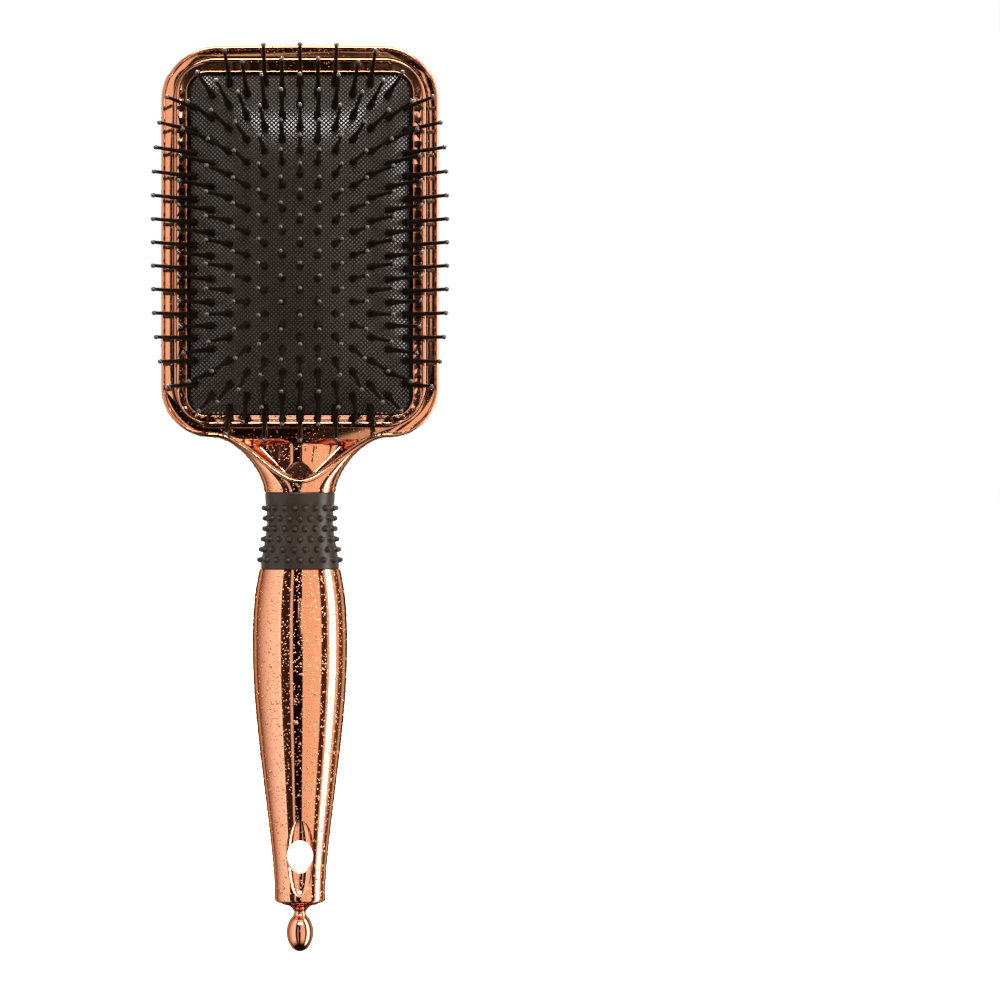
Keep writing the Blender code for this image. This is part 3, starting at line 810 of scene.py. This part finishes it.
def make_pad():
    """The domed rubber membrane with its flange, and the fine studs of its woven emboss."""
    rings = [pad_loop(share) for share in PAD_SHARES]
    rings += [pad_loop(1.0, -0.02 * MM), pad_loop(1.0, 0.25 * MM)]
    front, back = -3.75 * MM, -2.65 * MM
    for inset, y in ((0.0, front), (-FLANGE, front), (-FLANGE, back), (1.2 * MM, back)):
        rings.append([(x, y, z) for x, z in pad_outline(inset)])
    for share in (0.93, 0.8, 0.6, 0.4, 0.2, 0.06):
        rings.append(pad_loop(share, 1.3 * MM))
    # The membrane's darker colour is painted shade between the studs.
    pad = skin("pad_membrane", rings, pad_rubber, smooth=50)
    studs = grown("pad_emboss", emboss_points(0.84 * MM), make_emboss_tree())
    place(pad, "brush", "pad_rubber", "cushion_pad")
    place(studs, "brush", "pad_rubber")
    for piece in (pad, studs):
        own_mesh(piece)


# ---- pins
PIN_COLUMNS = 13
PIN_HALF_ROWS = 29
PIN_MARGIN_SIDE = 1.9 * MM
PIN_MARGIN_TOP = 3.0 * MM
PIN_MARGIN_LOW = 2.1 * MM
# The rings of pins: the last column and the last half row of each, counted from the middle
ZONES = (("centre", 2, 6), ("inner", 3, 8), ("middle", 4, 10), ("outer", 5, 12), ("edge", 6, 14))
PIN_SIZES = {
    "Length": 17.5 * MM,
    "Root radius": 1.12 * MM,
    "Waist radius": 0.66 * MM,
    "Tip radius": 0.47 * MM,
    "Ball radius": 0.68 * MM,
}
# Stretches of a pin: start and end as shares of its length, then the radius at each with its factor
PIN_STRETCHES = (
    (-0.10, 0.10, "Root radius", 1.0, "Root radius", 0.98),
    (0.10, 0.22, "Root radius", 0.98, "Waist radius", 1.12),
    (0.22, 0.40, "Waist radius", 1.12, "Waist radius", 0.88),
    (0.40, 0.94, "Waist radius", 0.88, "Tip radius", 1.0),
)


def pin_zone(column, half_row):
    """The name of the ring of pins that a place belongs to, or None where no pin stands."""
    if (column - half_row) % 2:
        return None
    for name, columns, rows in ZONES:
        if abs(column) <= columns and abs(half_row) <= rows:
            corner = name == "edge" and abs(column) == columns and abs(half_row) > rows - 2
            return None if corner else name
    return None


def pin_places():
    """(zone, place, direction) of every pin."""
    pitch = 2 * (PAD_HALF - PIN_MARGIN_SIDE) / (PIN_COLUMNS - 1)
    low = PAD_LOW_Z + PIN_MARGIN_LOW
    high = PAD_TOP_Z - PIN_MARGIN_TOP
    row_pitch = (high - low) / (PIN_HALF_ROWS - 1)
    found = []
    for column in range(-(PIN_COLUMNS // 2), PIN_COLUMNS // 2 + 1):
        for half_row in range(-(PIN_HALF_ROWS // 2), PIN_HALF_ROWS // 2 + 1):
            zone = pin_zone(column, half_row)
            if zone:
                x = column * pitch
                z = (low + high) / 2 + half_row * row_pitch
                found.append((zone, Vector((x, PAD_EDGE_Y - dome(x, z), z)), dome_normal(x, z)))
    return found


def make_pin_tree():
    tree, given, result = new_tree("ball_pins", PIN_SIZES)
    shank = node(tree, "GeometryNodeJoinGeometry")
    length = given["Length"]
    for start, end, low, low_share, high, high_share in PIN_STRETCHES:
        low_radius = times(tree, given[low], low_share)
        high_radius = times(tree, given[high], high_share)
        cone = cone_mesh(tree, 8, low_radius, high_radius, times(tree, length, end - start))
        tree.links.new(raised(tree, cone, times(tree, length, start)), shank.inputs["Geometry"])
    ball = ball_mesh(tree, 10, 6, given["Ball radius"])
    ball = raised(tree, ball, calculated(tree, "SUBTRACT", length, given["Ball radius"]))
    pin = node(tree, "GeometryNodeJoinGeometry")
    for geometry, material in ((shank.outputs["Geometry"], pin_nylon), (ball, pin_ball)):
        tree.links.new(painted(tree, geometry, material), pin.inputs["Geometry"])
    realised(tree, stand_on_axis(tree, given["Geometry"], pin.outputs["Geometry"]), None, result)
    return tree


def make_pins():
    tree = make_pin_tree()
    places = pin_places()
    for zone, _, _ in ZONES:
        body = "pins_" + zone
        spots = zip(*[(place_at, normal) for name, place_at, normal in places if name == zone])
        pins = grown(body + "_fine", spots, tree)
        pins.data.set_sharp_from_angle(angle=math.radians(60))
        place(pins, body, "pin_nylon", *[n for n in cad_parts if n.startswith(body)])


# ---- grip sleeve
def sleeve_half_width(z):
    """Half the sleeve's width: it is narrowest above its middle and flares to both ends."""
    waist_z = 2.8 * MM
    low = ease(waist_z - z, 0, waist_z + SLEEVE_HALF)
    high = ease(z - waist_z, 0, SLEEVE_HALF - waist_z)
    return mix(mix(18.3 * MM, 21.7 * MM, low), 19.3 * MM, high) / 2


def sleeve_rings():
    edge = 0.5 * MM
    rings = []
    for k in range(6):
        angle = math.radians(90 * k / 5)
        rings.append((SLEEVE_HALF - edge * (1 - math.cos(angle)), edge * (1 - math.sin(angle))))
    for k in range(1, 26):
        rings.append((mix(SLEEVE_HALF - edge, -SLEEVE_HALF + edge, k / 26), 0.0))
    for k in range(6):
        angle = math.radians(90 * k / 5)
        rings.append((-SLEEVE_HALF + edge * (1 - math.sin(angle)), edge * (1 - math.cos(angle))))
    outer = []
    for z, inset in rings:
        half = sleeve_half_width(z)
        outer.append(ellipse(half - inset, half * HANDLE_SHARE - inset, z, 120))
    return outer + [ellipse(CORE_HALF + GAP, CORE_DEEP + GAP, z, 120) for z in (-SLEEVE_HALF, SLEEVE_HALF)]


def nub_points():
    """Six staggered rows of nubs round the sleeve."""
    places = []
    normals = []
    per_row = 17
    for row in range(6):
        z = (6.3 - row * 2.86) * MM
        half = sleeve_half_width(z)
        for k in range(per_row):
            angle = 2 * math.pi * (k + 0.5 * (row % 2)) / per_row + math.pi / 2
            spread = angle + 0.09 * math.sin(2 * angle)
            x = half * math.cos(spread)
            y = half * HANDLE_SHARE * math.sin(spread)
            places.append((x, y, z))
            normals.append(Vector((x / half**2, y / (half * HANDLE_SHARE) ** 2, 0)).normalized())
    return places, normals


def make_nub_tree():
    tree, given, result = new_tree("sleeve_nubs", {"Nub radius": 0.75 * MM, "Nub height": 1.35 * MM})
    radius, height = given["Nub radius"], given["Nub height"]
    low, high = (times(tree, radius, share) for share in (1.35, 0.97))
    foot = cone_mesh(tree, 12, low, high, times(tree, height, 0.45), fill="NONE")
    foot = raised(tree, foot, times(tree, height, -0.06))
    head = raised(tree, ball_mesh(tree, 12, 8, radius), calculated(tree, "SUBTRACT", height, radius))
    nub = node(tree, "GeometryNodeJoinGeometry")
    for geometry in (foot, head):
        tree.links.new(geometry, nub.inputs["Geometry"])
    realised(tree, stand_on_axis(tree, given["Geometry"], nub.outputs["Geometry"]), grip_rubber, result)
    return tree


def make_sleeve():
    sleeve = skin("rubber_sleeve", sleeve_rings(), grip_rubber, closed=True, smooth=50)
    place(sleeve, "brush", "grip_rubber", "grip_sleeve")
    place(grown("sleeve_nubs", nub_points(), make_nub_tree()), "brush", "grip_rubber")


# ---- end plug
def make_plug():
    """The droplet closing the handle: a flared foot, a thin neck and the drop itself, turned."""
    spigot = 2.8 * MM
    foot_z = plug_high.z - 5.6 * MM - GAP
    flare = 5.0 * MM
    bevel = 0.12 * MM
    neck = 1.6 * MM
    neck_z = -105.8 * MM
    drop_radius = 3.7 * MM
    profile = [(spigot, plug_high.z), (spigot, foot_z), (flare - bevel, foot_z), (flare, foot_z - bevel)]
    for k in range(1, 17):
        angle = math.radians(90 * k / 16)
        radius = neck + (flare - neck) * (1 - math.sin(angle)) ** 0.9
        profile.append((radius, mix(foot_z - 0.2 * MM, neck_z, 1 - math.cos(angle) if k < 16 else 1.0)))
    middle = (neck_z + plug_low.z) / 2
    half = (neck_z - plug_low.z) / 2
    for k in range(1, 31):
        angle = mix(math.asin(neck / drop_radius), math.radians(179), k / 30)
        profile.append((drop_radius * math.sin(angle), middle + half * math.cos(angle)))
    plug = skin("droplet_plug", [ellipse(r, r, z, 72) for r, z in profile], clear_plating, smooth=50)
    place(plug, "brush", "rose_plating", "end_plug")


# ---- droplets cast into the plating
def make_droplet_tree(name, fine, radius, flatness):
    tree, given, result = new_tree(name, {"Droplet radius": radius, "Flatness": flatness})
    if fine:
        sizes = {"Subdivisions": 1, "Radius": given["Droplet radius"]}
        bead = node(tree, "GeometryNodeMeshIcoSphere", sizes).outputs["Mesh"]
    else:
        bead = ball_mesh(tree, 9, 6, given["Droplet radius"])
    squash = node(tree, "ShaderNodeCombineXYZ", {"X": 1.0, "Y": 1.0, "Z": given["Flatness"]}).outputs[0]
    flat = node(tree, "GeometryNodeTransform", {"Scale": squash, "Geometry": bead}).outputs[0]
    realised(tree, stand_on_axis(tree, given["Geometry"], flat, sized=True), clear_plating, result)
    return tree


def on_plain_plating(x, y, z):
    """False in the rubber's stretch, in the head's front recess and over the hole."""
    in_rubber = abs(z) < SLEEVE_HALF + 0.5 * MM
    in_recess = z > 12 * MM and y < -4.5 * MM
    from_hole = math.hypot(x / DISH_HALF[0], (z - HOLE_Z) / DISH_HALF[1])
    return not (in_rubber or in_recess or from_hole < 1.08 and abs(y) > 2 * MM)


def surface_points(count, rng):
    """Random places on the plated body, spread evenly by area, with their outward directions."""
    grid = np.array(loft_rings(), float)
    a = grid[:-1]
    b = np.roll(grid[:-1], -1, 1)
    c = np.roll(grid[1:], -1, 1)
    d = grid[1:]
    normal = np.cross((b + c - a - d) / 2, (c + d - a - b) / 2)
    area = np.linalg.norm(normal, axis=2)
    normal /= np.maximum(area, 1e-15)[..., None]
    outward = (a + b + c + d) / 4
    outward[..., 2] = 0
    normal *= np.sign(np.sum(normal * outward, axis=2))[..., None]
    weights = area.ravel() / area.sum()
    chosen = rng.choice(weights.size, size=count, p=weights)
    shares = rng.random((count, 2))
    u = shares[:, :1]
    v = shares[:, 1:]
    a, b, c, d = (g.reshape(-1, 3)[chosen] for g in (a, b, c, d))
    points = (1 - u) * (1 - v) * a + u * (1 - v) * b + u * v * c + (1 - u) * v * d
    kept = [on_plain_plating(*p) for p in points]
    return points[kept], normal.reshape(-1, 3)[chosen][kept]


def front_points(pieces, count, rng):
    """Random places on the front of the head and the neck, found by rays from the front."""
    trees = [BVHTree.FromObject(piece, bpy.context.evaluated_depsgraph_get()) for piece in pieces]
    points = []
    normals = []
    for x, z in rng.uniform((-HEAD_HALF, VEE_LOW_Z), (HEAD_HALF, HEAD_TOP_Z), (count, 2)):
        if abs(x) < PAD_HALF and PAD_LOW_Z < z < PAD_TOP_Z:
            continue
        hits = [tree.ray_cast(Vector((x, -0.03, z)), Vector((0, 1, 0))) for tree in trees]
        place_at, normal, _, distance = min(hits, key=lambda hit: 1.0 if hit[3] is None else hit[3])
        if distance is not None and place_at.y < -2.5 * MM and normal.y < -0.5:
            points.append(place_at)
            normals.append(normal)
    return points, normals


def scatter(name, spots, rng, spread, limits, *shape):
    """Droplets on these places, with sizes drawn round the shape's radius."""
    sizes = np.clip(rng.lognormal(0.0, spread, len(spots[0])), *limits)
    place(grown(name, spots, make_droplet_tree(name, *shape), sizes), "brush", "rose_plating")


def make_droplets(front_pieces):
    rng = np.random.default_rng(5)
    spots = front_points(front_pieces, 3600, rng)
    scatter("droplets_front", spots, rng, 0.3, (0.6, 1.8), True, 0.13 * MM, 0.6)
    rng = np.random.default_rng(11)
    scatter("droplets_fine", surface_points(5600, rng), rng, 0.25, (0.6, 1.6), True, 0.20 * MM, 0.6)
    rng = np.random.default_rng(12)
    scatter("droplets_large", surface_points(1500, rng), rng, 0.25, (0.7, 1.6), False, 0.33 * MM, 0.42)


# ---- stage, light and camera
PALE = (0.9, 0.85, 0.8)
DUSK = (0.10, 0.07, 0.05)
DARK = (0.03, 0.02, 0.015)
BLACK = (0.006, 0.004, 0.003)
# Brightness of the studio round the brush: (degrees to the right of the camera, (red, green, blue))
FRONT_STUDIO = (
    (-180, DUSK),
    (-125, (0.07, 0.05, 0.04)),
    (-110, (0.40, 0.30, 0.25)),
    (-86, (0.85, 0.82, 0.80)),
    (-60, (1.15, 1.2, 1.22)),
    (-46, (1.08, 1.15, 1.16)),
    (-44.5, (1.5, 1.5, 1.5)),
    (-41, (1.5, 1.5, 1.5)),
    (-39.5, (0.05, 0.03, 0.025)),
    (-21, DARK),
    (-19.5, PALE),
    (-15.5, PALE),
    (-14.5, BLACK),
    (-4.2, BLACK),
    (-3.2, (1.0, 0.94, 0.86)),
    (12, (0.97, 0.80, 0.66)),
    (44, (1.06, 0.92, 0.78)),
    (46.5, (0.04, 0.025, 0.02)),
    (59, (0.08, 0.05, 0.035)),
    (61, (0.85, 0.8, 0.75)),
    (66, (0.85, 0.8, 0.75)),
    (69, (7.0, 7.0, 7.0)),
    (85, (7.0, 7.0, 7.0)),
    (87, PALE),
    (97, (0.8, 0.72, 0.66)),
    (101, (0.16, 0.10, 0.07)),
    (125, (0.08, 0.05, 0.04)),
    (180, DUSK),
)
BACK_STUDIO = (
    (-180, DUSK),
    (-125, (0.08, 0.05, 0.04)),
    (-108, (0.42, 0.32, 0.27)),
    (-80, (0.95, 0.95, 0.93)),
    (-40, (1.05, 1.05, 1.05)),
    (-36, DARK),
    (-27, DARK),
    (-24, (1.03, 1.08, 1.05)),
    (-8.2, (1.02, 1.22, 1.35)),
    (-7.5, BLACK),
    (1.4, BLACK),
    (2.0, (1.02, 0.92, 0.70)),
    (12, (1.03, 1.15, 1.02)),
    (20, (1.03, 0.98, 0.80)),
    (23, DARK),
    (30, DARK),
    (34, (0.95, 0.82, 0.70)),
    (53, (1.0, 0.88, 0.75)),
    (57, (0.04, 0.025, 0.02)),
    (66, (0.04, 0.025, 0.02)),
    (70, (5.0, 5.0, 5.0)),
    (92, (5.0, 5.0, 5.0)),
    (97, (0.22, 0.15, 0.11)),
    (125, DUSK),
    (180, DUSK),
)
BRIGHTEST = 7.0
# Cards hung before the brush: (left, right, lowest, highest) in degrees, the soft edge and the colour
FRONT_CARDS = (
    ((-5.0, 5.6, -70.0, -0.4), 0.4, BLACK),
    ((-5.0, -1.5, -0.5, 2.8), 0.4, BLACK),
    ((-1.6, 1.6, -0.5, 0.8), 0.2, BLACK),
    ((-0.55, 0.5, 0.7, 1.4), 0.2, BLACK),
    ((-1.6, 1.6, 1.35, 7.2), 0.2, BLACK),
    ((-14.5, 4.6, 8.6, 34.0), 0.3, BLACK),
    ((-1.65, 1.65, 7.1, 8.7), 0.2, BLACK),
    ((-38.0, -14.0, 22.0, 34.0), 0.5, BLACK),
    ((-20.0, 28.0, 34.0, 44.0), 3.0, (20.0, 20.0, 20.0)),
)
BACK_CARDS = (((-30.0, 30.0, 34.0, 46.0), 2.0, (24.0, 24.0, 22.0)),)


def make_floor():
    sockets = {
        "Base Color": (0.9, 0.9, 0.9, 1.0),
        "Roughness": 0.9,
        "Specular IOR Level": 0.0,
        "Emission Color": (1.0, 1.0, 1.0, 1.0),
        "Emission Strength": 0.62,
    }
    reach = 40.0
    z = plug_low.z - 0.2 * MM
    corners = [(-reach, -reach, z), (reach, -reach, z), (reach, reach, z), (-reach, reach, z)]
    mesh = bpy.data.meshes.new("floor")
    mesh.from_pydata(corners, [], [(0, 1, 2, 3)])
    mesh.materials.append(new_material("studio_floor", sockets)[0])
    floor = linked("floor", mesh)
    floor.visible_glossy = False


def mixed(tree, factor, first, second):
    first, second = ((*end, 1.0) if isinstance(end, tuple) else end for end in (first, second))
    made = node(tree, "ShaderNodeMix", {"Factor": factor, 6: first, 7: second}, data_type="RGBA")
    return made.outputs[2]


def window(tree, angle, low_deg, high_deg, edge_deg):
    """1 between two angles and 0 outside them, with soft edges."""
    low, high, edge = (math.radians(a) for a in (low_deg, high_deg, edge_deg))
    rising = ramped(tree, angle, 0.0, 1.0, low - edge / 2, low + edge / 2)
    falling = ramped(tree, angle, 1.0, 0.0, high - edge / 2, high + edge / 2)
    return calculated(tree, "MULTIPLY", rising, falling)


def studio_side(tree, across, ahead, tilt, table, cards):
    """What one side of the brush reflects: its panels, and the cards hung before them."""
    turn = calculated(tree, "ARCTAN2", across, ahead)
    share = calculated(tree, "ADD", times(tree, turn, 0.5 / math.pi), 0.5)
    stops = [((at + 180) / 360, tuple(c / BRIGHTEST for c in colour)) for at, colour in table]
    inputs = {0: coloured(tree, share, *stops), "Scale": BRIGHTEST}
    colour = node(tree, "ShaderNodeVectorMath", inputs, operation="SCALE").outputs["Vector"]
    for (left, right, lowest_deg, highest_deg), edge, card in cards:
        wide = window(tree, turn, left, right, edge)
        tall = window(tree, tilt, lowest_deg, highest_deg, edge)
        colour = mixed(tree, calculated(tree, "MULTIPLY", wide, tall), colour, card)
    return colour


def make_studio():
    """White to the camera; to the brush, tall soft panels with dark gaps, front and back."""
    world = bpy.data.worlds.new("studio")
    bpy.context.scene.world = world
    world.use_nodes = True
    tree = world.node_tree
    direction = node(tree, "ShaderNodeTexCoord").outputs["Generated"]
    x, y, z = node(tree, "ShaderNodeSeparateXYZ", {"Vector": direction}).outputs
    tilt = calculated(tree, "ARCSINE", z)
    front = studio_side(tree, x, times(tree, y, -1.0), tilt, FRONT_STUDIO, FRONT_CARDS)
    back = studio_side(tree, times(tree, x, -1.0), y, tilt, BACK_STUDIO, BACK_CARDS)
    colour = mixed(tree, ramped(tree, y, 0.0, 1.0, 0.45, 0.62), front, back)
    colour = mixed(tree, ramped(tree, z, 0.0, 1.0, 0.76, 0.86), colour, (1.3, 1.3, 1.25))
    colour = mixed(tree, ramped(tree, z, 0.0, 1.0, -0.55, -0.85), colour, (0.012, 0.008, 0.006))
    rays = node(tree, "ShaderNodeLightPath").outputs
    colour = mixed(tree, rays["Is Diffuse Ray"], colour, (0.42, 0.40, 0.38))
    colour = mixed(tree, rays["Is Camera Ray"], colour, (1.0, 1.0, 1.0))
    background = tree.nodes["Background"].inputs
    feed(tree, background["Color"], colour)
    background["Strength"].default_value = 1.0


def add_panel(name, place_at, size, power):
    """A soft area light, unseen in reflections, which only lights the rubber, the nylon and the floor."""
    light = bpy.data.lights.new(name, "AREA")
    light.shape = "RECTANGLE"
    light.size, light.size_y = size
    light.energy = power
    panel = linked(name, light)
    panel.location = place_at
    panel.rotation_euler = (Vector((0, 0, 0.03)) - Vector(place_at)).to_track_quat("-Z", "Y").to_euler()
    panel.visible_glossy = False
    panel.visible_camera = False


def make_camera():
    lens = bpy.data.cameras.new("camera")
    camera = linked("camera", lens)
    distance = 0.94
    picture_width = 0.2747
    camera.location = (0, -distance, 8.5 * MM)
    camera.rotation_euler = (math.radians(90), 0, 0)
    lens.sensor_width = 36.0
    lens.lens = lens.sensor_width * (distance + LIP_Y) / picture_width
    lens.shift_x = 0.2
    lens.clip_start = 0.01
    bpy.context.scene.camera = camera


make_camera()
front_pieces = (make_body(), make_lip(), make_frame())
make_pad()
make_pins()
make_sleeve()
make_plug()
make_droplets(front_pieces)
make_floor()
make_studio()
add_panel("key_panel", (-0.9, -1.1, 0.9), (0.9, 1.2), 7.0)
add_panel("fill_panel", (1.2, -0.9, 0.3), (0.5, 1.4), 5.0)
add_panel("rear_panel", (0.3, 1.4, 0.8), (1.2, 1.2), 8.0)
bpy.context.scene.view_settings.view_transform = "Standard"
